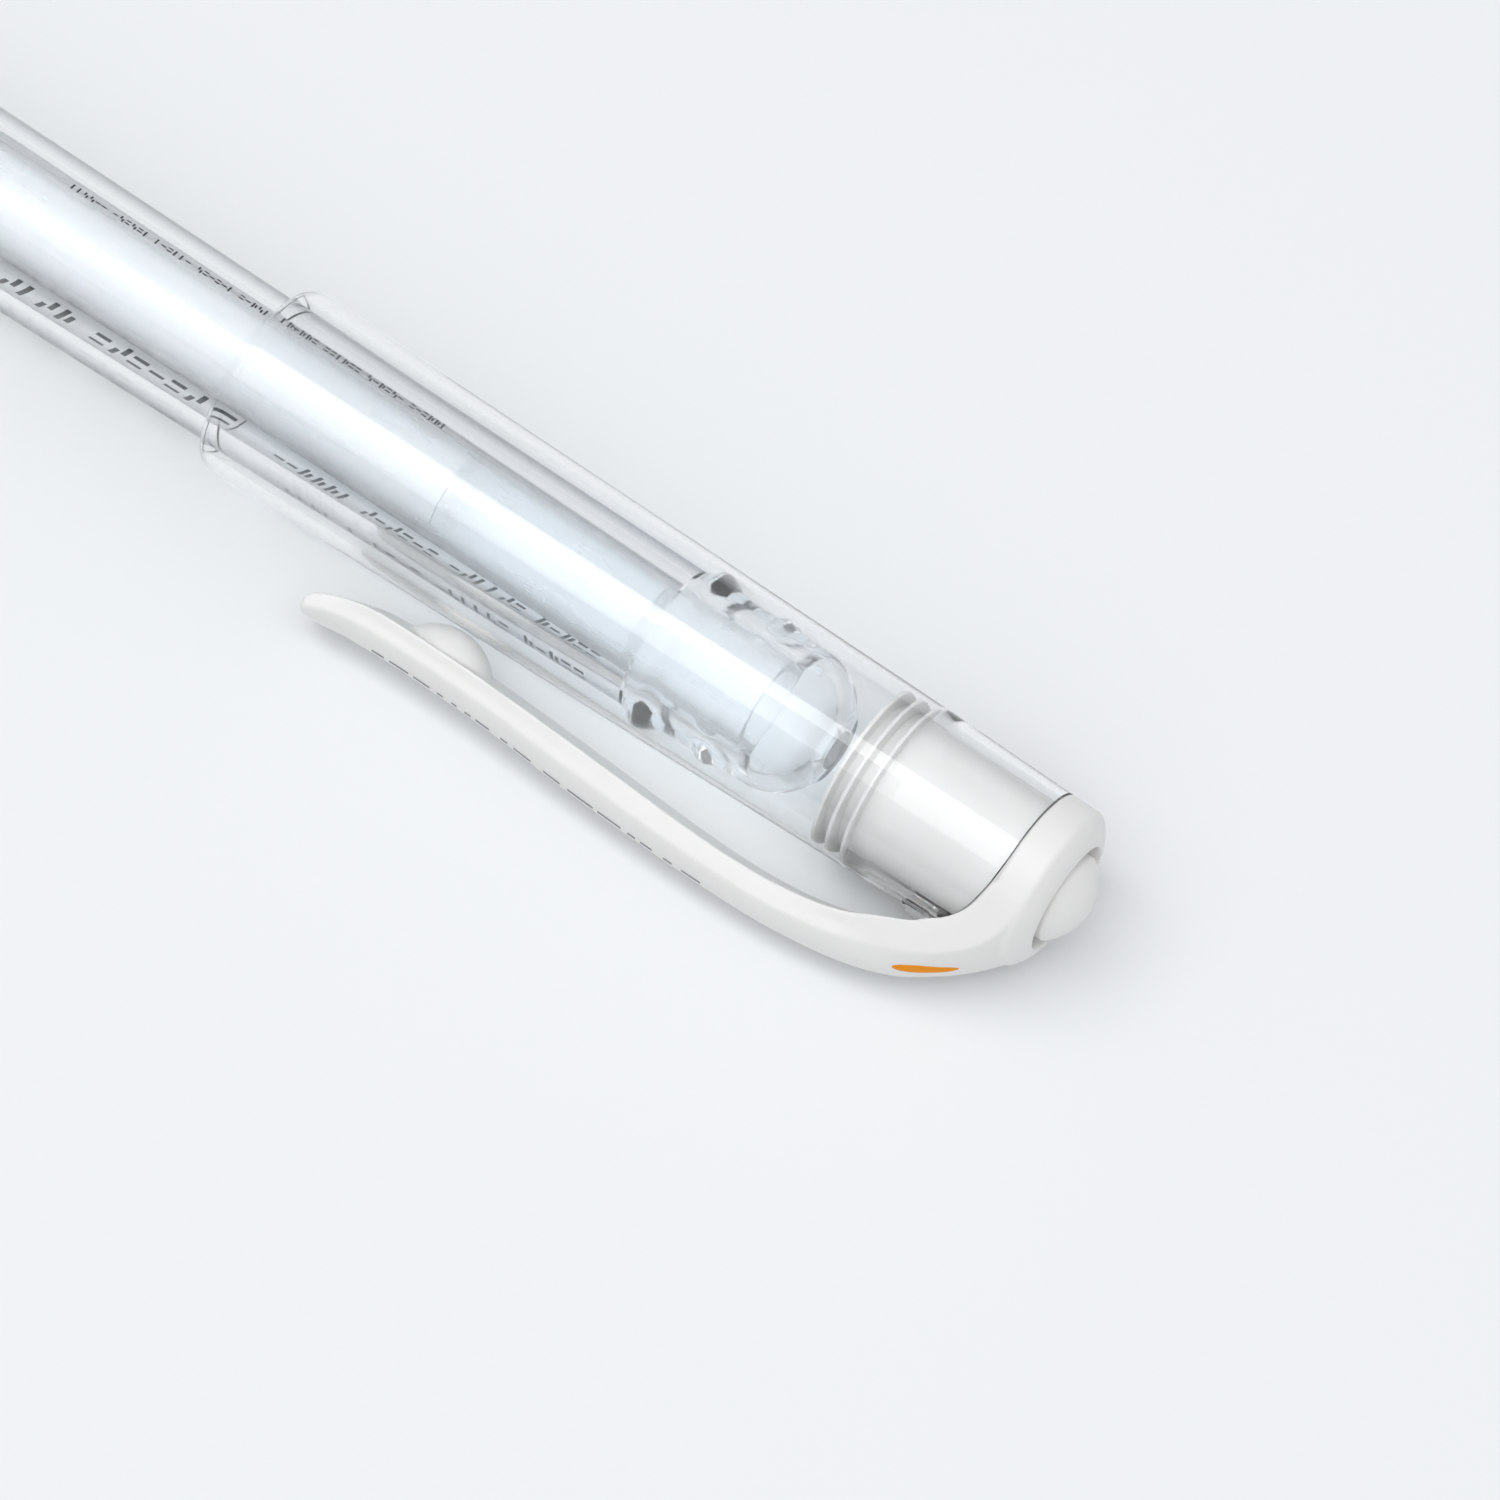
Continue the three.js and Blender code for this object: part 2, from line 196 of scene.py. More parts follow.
def add_boolean(piece, cutter, operation):
    """Joins the piece with the cutter or cuts it away, and uses the cutter up."""
    modifier = piece.modifiers.new("cut", "BOOLEAN")
    modifier.operation = operation
    modifier.solver = "EXACT"
    modifier.object = cutter
    apply_modifiers(piece)
    bpy.data.objects.remove(cutter)


def block(name, x, r, angle, size):
    """A small rounded block standing out from the axis, size = (along, across, out) in millimetres."""
    bm = bmesh.new()
    bmesh.ops.create_cube(bm, size=1.0)
    bmesh.ops.scale(bm, vec=Vector(size) * MM, verts=bm.verts)
    bmesh.ops.bevel(bm, geom=bm.edges[:], offset=min(size) * 0.12 * MM, segments=2, affect="EDGES")
    turn = Matrix.Rotation(angle - math.pi / 2, 4, "X")
    bmesh.ops.transform(bm, matrix=Matrix.Translation(place(x, r, angle)) @ turn, verts=bm.verts)
    return finish_mesh(name, bm)


def reshade(piece, sharp_angle=SHARP_ANGLE):
    """Shades a piece again after a modifier has rebuilt its mesh."""
    bm = bmesh.new()
    bm.from_mesh(piece.data)
    shade(bm, sharp_angle)
    bm.to_mesh(piece.data)
    bm.free()


def smoothstep(value, low, high):
    """Rises smoothly from 0 at low to 1 at high."""
    t = min(max((value - low) / (high - low), 0.0), 1.0)
    return t * t * (3 - 2 * t)


# ---- Materials ----
def new_material(name):
    mat = bpy.data.materials.new(name)
    mat.use_nodes = True
    tree = mat.node_tree
    tree.nodes.clear()
    out = tree.nodes.new("ShaderNodeOutputMaterial")
    shader = tree.nodes.new("ShaderNodeBsdfPrincipled")
    tree.links.new(shader.outputs["BSDF"], out.inputs["Surface"])
    return mat, tree, shader, out


def set_inputs(made, values):
    for key, value in values.items():
        made.inputs[key].default_value = value


def node(tree, kind, inputs=None, **settings):
    made = tree.nodes.new(kind)
    for key, value in settings.items():
        setattr(made, key, value)
    set_inputs(made, inputs or {})
    return made


def grain(tree, scale, detail, stretch=(1.0, 1.0, 1.0)):
    """A noise value that is fixed to the piece, with scale in cells per millimetre."""
    coordinates = node(tree, "ShaderNodeTexCoord")
    mapping = node(tree, "ShaderNodeMapping", {"Scale": [s / MM for s in stretch]})
    tree.links.new(coordinates.outputs["Object"], mapping.inputs["Vector"])
    cells = node(tree, "ShaderNodeTexNoise", {"Scale": scale, "Detail": detail})
    tree.links.new(mapping.outputs["Vector"], cells.inputs["Vector"])
    return cells.outputs["Fac"]


def remapped(tree, value, start, end, low, high, **settings):
    """The value, mapped from the span start to end onto the span low to high."""
    spread = node(tree, "ShaderNodeMapRange",
                  {"From Min": start, "From Max": end, "To Min": low, "To Max": high}, **settings)
    tree.links.new(value, spread.inputs["Value"])
    return spread.outputs["Result"]


def ranged(tree, value, low, high):
    """A noise value, whose middle half is spread over low to high."""
    return remapped(tree, value, 0.25, 0.75, low, high)


def bump(tree, shader, value, distance_mm, strength):
    """Fine relief on the surface."""
    made = node(tree, "ShaderNodeBump", {"Strength": strength, "Distance": distance_mm * MM})
    tree.links.new(value, made.inputs["Height"])
    tree.links.new(made.outputs["Normal"], shader.inputs["Normal"])


def tinted(tree, value, dark, light):
    """A colour between two shades."""
    mix = node(tree, "ShaderNodeMix", data_type="RGBA")
    set_inputs(mix, {"A": (*dark, 1), "B": (*light, 1)})
    tree.links.new(value, mix.inputs["Factor"])
    return mix.outputs["Result"]


def colour_and_gloss(tree, shader, clouds, dark, light, wear, rough):
    """Base colour that varies with the clouds, and roughness that varies with the wear."""
    tree.links.new(tinted(tree, clouds, dark, light), shader.inputs["Base Color"])
    tree.links.new(ranged(tree, wear, *rough), shader.inputs["Roughness"])


def let_light_through(tree, shader, out, tint):
    """Lamps shine through the clear piece, as they do through a thin real one."""
    path = node(tree, "ShaderNodeLightPath")
    through = node(tree, "ShaderNodeBsdfTransparent", {"Color": (*tint, 1)})
    mix = node(tree, "ShaderNodeMixShader")
    tree.links.new(path.outputs["Is Shadow Ray"], mix.inputs["Fac"])
    tree.links.new(shader.outputs["BSDF"], mix.inputs[1])
    tree.links.new(through.outputs["BSDF"], mix.inputs[2])
    tree.links.new(mix.outputs["Shader"], out.inputs["Surface"])


def clear_plastic(name, dark, light, rough=(0.015, 0.035), ior=1.49, clarity=1.0, painted_edge_shade=False):
    """Clear moulded plastic; with the edge option on, painted shade greys its base colour where it's seen
    edge on, in place of the dark edges a thick tube shows.
    """
    mat, tree, shader, out = new_material(name)
    set_inputs(shader, {"Transmission Weight": clarity, "IOR": ior})
    colour = tinted(tree, grain(tree, 0.25, 2.0), dark, light)
    if painted_edge_shade:
        # Painted shade: the colour turns grey where the surface is seen edge on
        facing = node(tree, "ShaderNodeLayerWeight", {"Blend": 0.5})
        mix = node(tree, "ShaderNodeMix", {"B": EDGE_SHADE_GREY}, data_type="RGBA")
        tree.links.new(colour, mix.inputs["A"])
        tree.links.new(remapped(tree, facing.outputs["Facing"], *EDGE_SHADE_SPAN, 0.0, 1.0), mix.inputs["Factor"])
        colour = mix.outputs["Result"]
    tree.links.new(colour, shader.inputs["Base Color"])
    wear = grain(tree, 2.2, 3.0, (0.25, 1.0, 1.0))
    tree.links.new(ranged(tree, wear, *rough), shader.inputs["Roughness"])
    bump(tree, shader, grain(tree, 0.35, 1.0, (0.3, 1.0, 1.0)), 0.006, 0.25)
    let_light_through(tree, shader, out, (0.96, 0.97, 0.975))
    return mat


def white_plastic(name, dark, light, rough=(0.34, 0.46)):
    mat, tree, shader, _ = new_material(name)
    colour_and_gloss(tree, shader, grain(tree, 0.6, 3.0), dark, light, grain(tree, 5.0, 5.0), rough)
    set_inputs(shader, {"Subsurface Weight": 0.25, "Subsurface Radius": (1.0, 0.95, 0.85),
                        "Subsurface Scale": 0.8 * MM, "IOR": 1.49})
    bump(tree, shader, grain(tree, 9.0, 6.0), 0.006, 0.35)
    return mat


def milky_tube(name):
    mat, tree, shader, out = new_material(name)
    cloud = grain(tree, 0.5, 3.0, (0.2, 1.0, 1.0))
    colour_and_gloss(tree, shader, cloud, (0.93, 0.95, 0.965), (0.965, 0.975, 0.985), cloud, (0.2, 0.3))
    set_inputs(shader, {"Transmission Weight": 0.82, "IOR": 1.3})
    bump(tree, shader, cloud, 0.004, 0.12)
    let_light_through(tree, shader, out, (0.95, 0.96, 0.97))
    return mat


def ink_material(name):
    mat, tree, shader, _ = new_material(name)
    streaks = grain(tree, 0.5, 3.0, (0.12, 1.0, 1.0))
    colour_and_gloss(tree, shader, streaks, (0.73, 0.74, 0.75), (0.77, 0.775, 0.78), streaks, (0.3, 0.42))
    set_inputs(shader, {"Subsurface Weight": 0.2, "Subsurface Scale": 0.5 * MM})
    return mat


def gel_material(name):
    mat, tree, shader, out = new_material(name)
    cloud = grain(tree, 0.4, 2.0)
    colour_and_gloss(tree, shader, cloud, (0.9, 0.93, 0.95), (0.94, 0.955, 0.97), cloud, (0.2, 0.3))
    set_inputs(shader, {"Transmission Weight": 0.6, "IOR": 1.3})
    let_light_through(tree, shader, out, (0.92, 0.94, 0.96))
    return mat


def rubber_material(name, dark, light, transmission=0.0):
    mat, tree, shader, out = new_material(name)
    speckle = grain(tree, 6.0, 6.0)
    colour_and_gloss(tree, shader, grain(tree, 0.8, 3.0), dark, light, speckle, (0.48, 0.66))
    set_inputs(shader, {"Transmission Weight": transmission, "Subsurface Weight": 0.3,
                        "Subsurface Scale": 0.6 * MM, "Sheen Weight": 0.15})
    bump(tree, shader, speckle, 0.012, 0.5)
    if transmission:
        let_light_through(tree, shader, out, (0.75, 0.77, 0.78))
    return mat


def metal_material(name, dark, light, rough):
    mat, tree, shader, _ = new_material(name)
    turning = grain(tree, 8.0, 3.0, (4.0, 0.2, 0.2))
    colour_and_gloss(tree, shader, turning, dark, light, turning, rough)
    set_inputs(shader, {"Metallic": 1.0})
    bump(tree, shader, turning, 0.004, 0.3)
    return mat


def print_material(name, dark, light):
    mat, tree, shader, _ = new_material(name)
    specks = grain(tree, 7.0, 5.0)
    colour_and_gloss(tree, shader, specks, dark, light, specks, (0.45, 0.7))
    set_inputs(shader, {"Specular IOR Level": 0.15})
    return mat


# Grey of the painted shade on a clear piece where it's seen edge on
EDGE_SHADE_GREY = (0.28, 0.3, 0.32, 1)
EDGE_SHADE_SPAN = (0.48, 0.8)      # the layer weight's facing value where the painted edge shade starts, and where it's full

CLEAR_CAP = clear_plastic("clear_cap", (0.978, 0.982, 0.985), (0.99, 0.993, 0.996))
# The barrel's colour carries painted shade along its edges where they are seen edge on
CLEAR_BARREL = clear_plastic("clear_barrel", (0.97, 0.977, 0.983), (0.985, 0.99, 0.994), painted_edge_shade=True)
SOFT_STOPPER = clear_plastic("soft_stopper", (0.93, 0.945, 0.955), (0.96, 0.97, 0.978),
                             rough=(0.07, 0.14), ior=1.25, clarity=0.93)
CLEAR_PLUG = clear_plastic("clear_plug", (0.94, 0.955, 0.965), (0.97, 0.978, 0.985), rough=(0.02, 0.08))
WHITE_MOULDING = white_plastic("white_moulding", (0.835, 0.832, 0.815), (0.87, 0.867, 0.85))
WHITE_SLEEVE = white_plastic("white_sleeve", (0.69, 0.69, 0.68), (0.73, 0.73, 0.72), rough=(0.3, 0.42))
TUBE = milky_tube("milky_tube")
INK = ink_material("white_gel_ink")
GEL = gel_material("follower_gel")
GRIP = rubber_material("grip_rubber", (0.86, 0.88, 0.89), (0.92, 0.93, 0.935), transmission=0.35)
SEAL = rubber_material("seal_rubber", (0.8, 0.8, 0.79), (0.86, 0.86, 0.85))
STEEL = metal_material("turned_steel", (0.62, 0.62, 0.63), (0.78, 0.78, 0.79), (0.18, 0.32))
CARBIDE = metal_material("ball_carbide", (0.45, 0.45, 0.47), (0.6, 0.6, 0.62), (0.06, 0.14))
GREY_PRINT = print_material("grey_print", (0.02, 0.025, 0.03), (0.05, 0.055, 0.06))
ORANGE_PRINT = print_material("orange_print", (0.9, 0.28, 0.002), (0.94, 0.35, 0.006))
CLIP_PRINT = print_material("clip_print_grey", (0.24, 0.25, 0.26), (0.36, 0.37, 0.38))


def dress(piece, material, body, slot, *nodes):
    """Gives a piece its material and its body, and hides the CAD nodes it stands for. The slot is not used.
    """
    piece.data.materials.clear()
    piece.data.materials.append(material)
    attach(piece, body)
    if nodes:
        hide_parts(*nodes)


# ---- Barrel ----
BARREL_FRONT = -87.7
SHOULDER = -53.0
GRIP_START, GRIP_END = -85.9, -58.2
STOPPER_FRONT, STOPPER_R = 27.6, 4.3
TAPER = [(SHOULDER + 0.4, 5.26), (-17.5, 4.8), (4.0, 4.55), (STOPPER_FRONT, STOPPER_R)]


def barrel_radius(x):
    """Outer radius of the barrel behind the shoulder."""
    for (x0, r0), (x1, r1) in zip(TAPER, TAPER[1:]):
        if x <= x1:
            return r0 + (r1 - r0) * (x - x0) / (x1 - x0)
    return STOPPER_R


def make_barrel():
    """Clear tube and its pressed-in stopper, which meet without a gap."""
    neck_r, bore_r, vent_r, dome_x = 4.35, 3.08, 1.15, 35.5
    snap_x, snap_width, notch_count, notch_depth = 33.1, 1.9, 8, 0.7
    front = [
        (BARREL_FRONT, 3.75), (BARREL_FRONT, 4.75), (BARREL_FRONT + 1.5, 4.75),
        (BARREL_FRONT + 1.5, neck_r), (GRIP_END + 0.3, neck_r), (GRIP_END + 0.3, 4.8),
        (SHOULDER, 4.84), (SHOULDER, 5.24), *TAPER,
    ]
    stopper = [
        *soft_bead(28.9, 2.6, STOPPER_R + 0.02, 0.62), *soft_bead(snap_x, snap_width, STOPPER_R, 0.34),
        *arc(dome_x + 0.1, 1.0, 3.27, 90, 28, 14), (TAIL, 2.1), (TAIL, vent_r), (TAIL - 0.9, vent_r),
        *arc(dome_x, 1.0, 2.35, 25, 85, 14), (34.9, bore_r),
    ]
    bore = [(STOPPER_FRONT, bore_r), (25.6, 3.1), (9.0, 3.42), (-3.3, 3.52), (-18.0, 3.75)]
    notches = [2 * math.pi * (i + 0.5) / notch_count for i in range(notch_count)]

    def notched(x, r, angle):
        """Radius of the stopper's snap bead, which has a notch every eighth of a turn."""
        if abs(x - snap_x) >= snap_width / 2 + 0.05 or r < STOPPER_R:
            return r
        nearest = min(abs((angle - n + math.pi) % (2 * math.pi) - math.pi) for n in notches)
        return r + notch_depth * (STOPPER_R - r) * (1 - smoothstep(nearest, 0.04, 0.2))

    barrel = lathe("barrel", [*front, *stopper, *bore], fillet=0.16, segments=VERY_FINE, shape=notched)
    for side in (0, math.pi):
        fin = block("fin", dome_x, 3.15, CLIP_DIRECTION + side, (1.0, 0.3, 0.7))
        add_boolean(barrel, fin, "UNION")
    reshade(barrel)
    dress(barrel, CLEAR_BARREL, "barrel", "clear_plastic", "barrel_tube", "tail_plug")
    barrel.data.materials.append(SOFT_STOPPER)
    for face in barrel.data.polygons:
        nearest_x = min(barrel.data.vertices[i].co.x for i in face.vertices)
        if (nearest_x - MOUTH_X) / MM > STOPPER_FRONT - 0.1:
            face.material_index = 1


def make_grip():
    bore_r, edge_r, outer_r, groove_r = 4.43, 4.65, 4.85, 4.63
    grooves, first_groove, plain_length = 12, 2, 6
    outline = [(GRIP_START, bore_r), (GRIP_START, edge_r), (GRIP_START + 0.3, outer_r)]
    pitch = (GRIP_END - GRIP_START - plain_length) / grooves
    for i in range(grooves):
        x = GRIP_START + first_groove + i * pitch
        outline += [(x, outer_r), (x + 0.35, groove_r), (x + 0.65, groove_r), (x + 1.0, outer_r)]
    outline += [(GRIP_END - 0.3, outer_r), (GRIP_END, edge_r), (GRIP_END, bore_r)]
    dress(lathe("grip", outline, fillet=0.15), GRIP, "barrel", "grip_rubber", "grip_sleeve")


def make_nose():
    """Cone with a plain spigot that goes into the barrel's front."""
    front, shoulder, spigot_end = -101.0, BARREL_FRONT - 0.15, -82.0
    mouth_r, spigot_r, bore_r = 1.3, 3.66, 3.0
    outline = [
        (front, mouth_r), (front, 1.95), (-97.0, 2.75), (-93.0, 3.6), (-88.6, 4.42), (shoulder, 4.5),
        (shoulder, spigot_r), (spigot_end, spigot_r), (spigot_end, bore_r),
        (-91.6, bore_r), (-97.3, 1.85), (-98.0, mouth_r),
    ]
    dress(lathe("nose", outline), CLEAR_PLUG, "nose", "clear_plastic", "nose_cone")


# ---- Refill ----
REFILL_FRONT, REFILL_REAR = -90.0, 34.5
REFILL_R, REFILL_BORE = 2.8, 2.35
INK_START, INK_END, FOLLOWER_END = -85.0, 13.3, 26.5
INK_R = 2.3
BOW = 0.62


def bow_piece(piece):
    """Bows a piece of the soft refill a little sideways between the refill's two ends."""
    for vertex in piece.data.vertices:
        along = ((vertex.co.x - MOUTH_X) / MM - REFILL_FRONT) / (REFILL_REAR - REFILL_FRONT)
        vertex.co.y += BOW * MM * math.sin(math.pi * min(max(along, 0.0), 1.0))
    return piece


def straight(start, end, r, count):
    """Evenly spaced points of a stretch along the pen, so that a long piece can bow."""
    return [(start + (end - start) * i / count, r) for i in range(count + 1)]


def dished(end, depth, radii):
    """The hollow end of a column in the tube, from its rim to the axis."""
    return [(end - depth * (1 - (r / INK_R) ** 2), r) for r in radii]


def make_refill():
    tube = lathe("ink_tube", [*straight(REFILL_FRONT, REFILL_REAR, REFILL_R, 40),
                              *straight(REFILL_REAR, REFILL_FRONT, REFILL_BORE, 40)], fillet=0.1)
    dress(bow_piece(tube), TUBE, "refill", "tube_plastic", "refill_tube")
    meniscus = dished(INK_END, 0.55, (INK_R, 2.1, 1.7, 1.2, 0.6, 0.0))
    column = [(INK_START, 0.0), *straight(INK_START, INK_END - 0.2, INK_R, 30), *meniscus]
    ink = lathe("ink", column, fillet=0)
    dress(bow_piece(ink), INK, "refill", "white_ink", "ink_column")
    gap = 0.08
    front = [(x + gap, r) for x, r in reversed(meniscus)]
    side = straight(INK_END + 0.3, FOLLOWER_END - 0.2, INK_R, 8)
    rear = dished(FOLLOWER_END, 0.6, (INK_R, 2.0, 1.4, 0.7, 0.0))
    gel = lathe("follower", [*front, *side, *rear], fillet=0)
    dress(bow_piece(gel), GEL, "refill", "follower_gel", "ink_follower")


def make_point():
    """Moulded holder, turned metal point, ball and spring."""
    ball_r = 0.5
    ball_x = TIP + ball_r
    holder_rear, holder_front, point_rear, channel_r = -85.6, -97.0, -94.7, 0.62
    holder = lathe("point_holder", [
        (holder_rear, 1.3), (-85.4, 1.9), (holder_rear, 2.25), (REFILL_FRONT - 0.05, 2.27),
        (REFILL_FRONT - 0.05, REFILL_R), (-91.4, REFILL_R), (holder_front, 1.7), (holder_front, 1.2),
        (-94.6, 1.2), (-94.4, 0.7), (-88.0, 0.8)], fillet=0.1)
    dress(holder, TUBE, "refill", "tube_plastic", "tip_holder")
    point = lathe("metal_point", [
        (point_rear, channel_r), (point_rear, 1.14), (-100.2, 1.14), (-100.3, 1.05), (-100.9, 1.05),
        (-101.0, 1.12), (ball_x - 0.25, 0.62), (ball_x - 0.25, 0.48), (ball_x - 0.1, 0.56),
        (ball_x + 0.48, 0.56), (ball_x + 0.55, 0.3), (-101.5, 0.3), (-101.4, channel_r)], fillet=0.04)
    dress(point, STEEL, "refill", "point_metal", "tip_cone")
    ball = lathe("ball", arc(ball_x, 0.0, ball_r, 180, 0, 28), fillet=0, segments=56)
    dress(ball, CARBIDE, "ball", "ball_metal", "writing_ball")
    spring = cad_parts["tip_spring"]
    spring.data.materials.clear()
    spring.data.materials.append(STEEL)


# ---- Clip's own plane: curves of (along the pen, out from the axis) points ----
CROWN_R = 4.9
CROWN_BEND = [(49.75, 4.07), (50.45, 3.17), (50.85, 2.2), (51.15, 1.0)]
CROWN_EDGE = [(48.0, 5.35), (48.5, 4.95), *CROWN_BEND, (CROWN_X, -0.5)]
CLIP_INNER = [(9.3, 9.35), (9.9, 8.1), (12.4, 7.25), (15, 7.05), (20.4, 7.08), (27.8, 7.42), (35, 7.8),
              (39, 7.8), (42, 7.5), (44.4, 6.95), (46.3, 6.1), (48, 5.35), (48.9, 4.7), *CROWN_BEND]
CLIP_OUTER = [(9.3, 9.6), (10.7, 9.6), (12.4, 9.42), (16.4, 9.33), (22, 9.5), (27.8, 9.93), (34, 10.18),
              (39, 10.2), (42.2, 10.0), (45.5, 9.5), (48.3, 8.6), (50.4, 7.3),
              (51.5, 6.45), (52.5, 5.5), (53.35, 4.45), (53.9, 3.2), (CROWN_END, 1.4)]


def spline(points, t):
    """A smooth curve through points, t from 0 to 1."""
    position = t * (len(points) - 1)
    i = min(int(position), len(points) - 2)
    f = position - i
    p = [Vector(points[min(max(i + k, 0), len(points) - 1)]) for k in (-1, 0, 1, 2)]
    return 0.5 * ((2 * p[1]) + (p[2] - p[0]) * f + (2 * p[0] - 5 * p[1] + 4 * p[2] - p[3]) * f ** 2
                  + (3 * p[1] - p[0] - 3 * p[2] + p[3]) * f ** 3)


def clip_point(x, r, across):
    """A point of the clip: along the pen, out along the clip's direction, and across it."""
    out = Vector((0, math.cos(CLIP_DIRECTION), math.sin(CLIP_DIRECTION)))
    side = Vector((0, -math.sin(CLIP_DIRECTION), math.cos(CLIP_DIRECTION)))
    return place(x) + (out * r + side * across) * MM


def side_half(out):
    """Half width of clip and crown: the clip's own, then a flat side that runs on as the crown's round."""
    flare_start, flare_end = 7.6, 1.8
    clip_half = CLIP_WIDTH / 2
    if out >= flare_start:
        return clip_half
    if out >= flare_end:
        round_half = math.sqrt(CROWN_R ** 2 - flare_end ** 2)
        return clip_half + (round_half - clip_half) * (flare_start - out) / (flare_start - flare_end)
    return math.sqrt(CROWN_R ** 2 - out ** 2)


# ---- Cap ----
def crown_edge(gap):
    """Near edge of the crown seen from the side, as (along, out) points, moved back by a gap."""
    steps = 40
    curve = [spline(CROWN_EDGE, i / steps) for i in range(steps + 1)]
    return [(spot.x - gap, spot.y) for spot in curve]


def side_prism(name, outline, half):
    """A slab square to the clip's own plane, cut to an outline of (along, out) points."""
    bm = bmesh.new()
    near, far = ([bm.verts.new(clip_point(x, out, across)) for x, out in outline]
                 for across in (-half, half))
    bm.faces.new(near)
    bm.faces.new(list(reversed(far)))
    count = len(outline)
    for k in range(count):
        j = (k + 1) % count
        bm.faces.new((near[k], near[j], far[j], far[k]))
    bmesh.ops.triangulate(bm, faces=bm.faces[:])
    return finish_mesh(name, bm)


def make_cap_shell():
    """Clear shell, turned a little too long and then cut off along the crown's slanted edge."""
    bore_r, turned_end = 4.98, 53.0
    outline = [
        (0.0, 5.0), (0.0, 5.5), (0.35, 5.72), (1.0, 5.8), (9.0, 5.65), (20.5, 5.48), (27.0, 5.39),
        (42.0, 5.15), (CROWN_X, CROWN_R), (turned_end, 4.86),
        (turned_end, 4.49), (CROWN_X, 4.5), (44.2, 4.6), (43.0, bore_r), (0.8, bore_r),
    ]
    shell = lathe("clear_cap", outline, fillet=0.2, segments=VERY_FINE)
    lug = block("lug", 47.4, 4.85, CLIP_DIRECTION, (1.4, 2.2, 0.75))
    add_boolean(shell, lug, "UNION")
    gap, top, wide, far = 0.1, 6.5, 7, 56
    edge = crown_edge(gap)
    cut = [(edge[0][0] - 0.5, top), *edge, (CROWN_X - gap, -wide), (far, -wide), (far, top)]
    add_boolean(shell, side_prism("beyond", cut, wide), "DIFFERENCE")
    reshade(shell)
    dress(shell, CLEAR_CAP, "cap", "clear_plastic", "cap_shell")


def make_inner_cap():
    """Cup with three thin flanges at its mouth."""
    mouth, floor_x, end, outer_r, flange_r = 40.6, 50.6, CROWN_X - 0.1, 4.06, 4.85
    outline = []
    for x in (mouth, 41.5, 42.5):
        outline += [(x, outer_r), (x + 0.08, flange_r), (x + 0.3, flange_r), (x + 0.38, outer_r)]
    outline += [(end, outer_r), (end, 0.0), (floor_x, 0.0), (floor_x, 3.2), (mouth, 3.4)]
    sleeve = lathe("inner_sleeve", outline, fillet=0.08)
    dress(sleeve, WHITE_SLEEVE, "cap", "white_plastic", "inner_cap")


def make_tip_seal():
    face, back = 49.3, 50.5
    seal = lathe("seal_pad", [(face + 0.15, 0.0), (face, 1.2), (face, 2.6), (back, 3.05), (back, 0.0)],
                 fillet=0.15)
    dress(seal, SEAL, "cap", "seal_rubber", "tip_seal")


def make_crown_plug():
    """Dome cut from a sphere, from the radius of its base and its rise."""
    bottom, base, rise = CROWN_X + 0.15, 2.65, 1.35
    sphere = (base * base + rise * rise) / (2 * rise)
    edge = math.degrees(math.asin(base / sphere))
    outline = [(bottom, 0.0), (bottom, base), *arc(DOME_TOP - sphere, 0.0, sphere, edge, 0, 16)]
    dome = lathe("crown_dome", outline, fillet=0.1)
    dress(dome, WHITE_MOULDING, "cap", "white_plastic", "crown_plug")


def clip_bar_bm():
    """The clip from its tip to the crown, as D-shaped sections between its inner and outer curves."""
    bm = bmesh.new()
    steps, across_steps, tip_share = 190, 20, 0.04
    rings = []
    for k in range(steps + 1):
        t = k / steps
        inner, outer = spline(CLIP_INNER, t), spline(CLIP_OUTER, t)
        tip = math.sqrt(min(t / tip_share + 0.1, 1.0))
        corner = inner.lerp(outer, 0.5 + 0.16 * smoothstep(outer.x, 46.0, 53.0))
        corner_half = side_half(corner.y) * tip
        inner_half = side_half(inner.y) * tip
        ring = [clip_point(inner.x, inner.y, inner_half * a) for a in (-1, -0.5, 0, 0.5, 1)]
        middle = inner.lerp(corner, 0.5)
        middle_half = side_half(middle.y) * tip
        ring.append(clip_point(middle.x, middle.y, middle_half))
        for i in range(across_steps + 1):
            a = 1 - 2 * i / across_steps
            spot = corner.lerp(outer, 1 - a * a)
            ring.append(clip_point(spot.x, spot.y, a * corner_half))
        ring.append(clip_point(middle.x, middle.y, -middle_half))
        rings.append([bm.verts.new(spot) for spot in ring])
    for a, b in zip(rings, rings[1:]):
        for k in range(len(a)):
            j = (k + 1) % len(a)
            bm.faces.new((a[k], a[j], b[j], b[k]))
    bm.faces.new(rings[0])
    bm.faces.new(list(reversed(rings[-1])))
    return bm


def clip_bump_bm():
    """Dome on the clip's inner face that presses on the cap."""
    bm = bmesh.new()
    bmesh.ops.create_uvsphere(bm, u_segments=48, v_segments=32, radius=1.0)
    middle_x, crest, radius, height, narrowing = 17.7, 5.62, 3.3, 1.9, 0.75
    for vertex in bm.verts:
        along, side, out = vertex.co * radius
        spot = crest + radius + min(out, height - radius)
        vertex.co = clip_point(middle_x + along, spot, side * narrowing)
    return bm


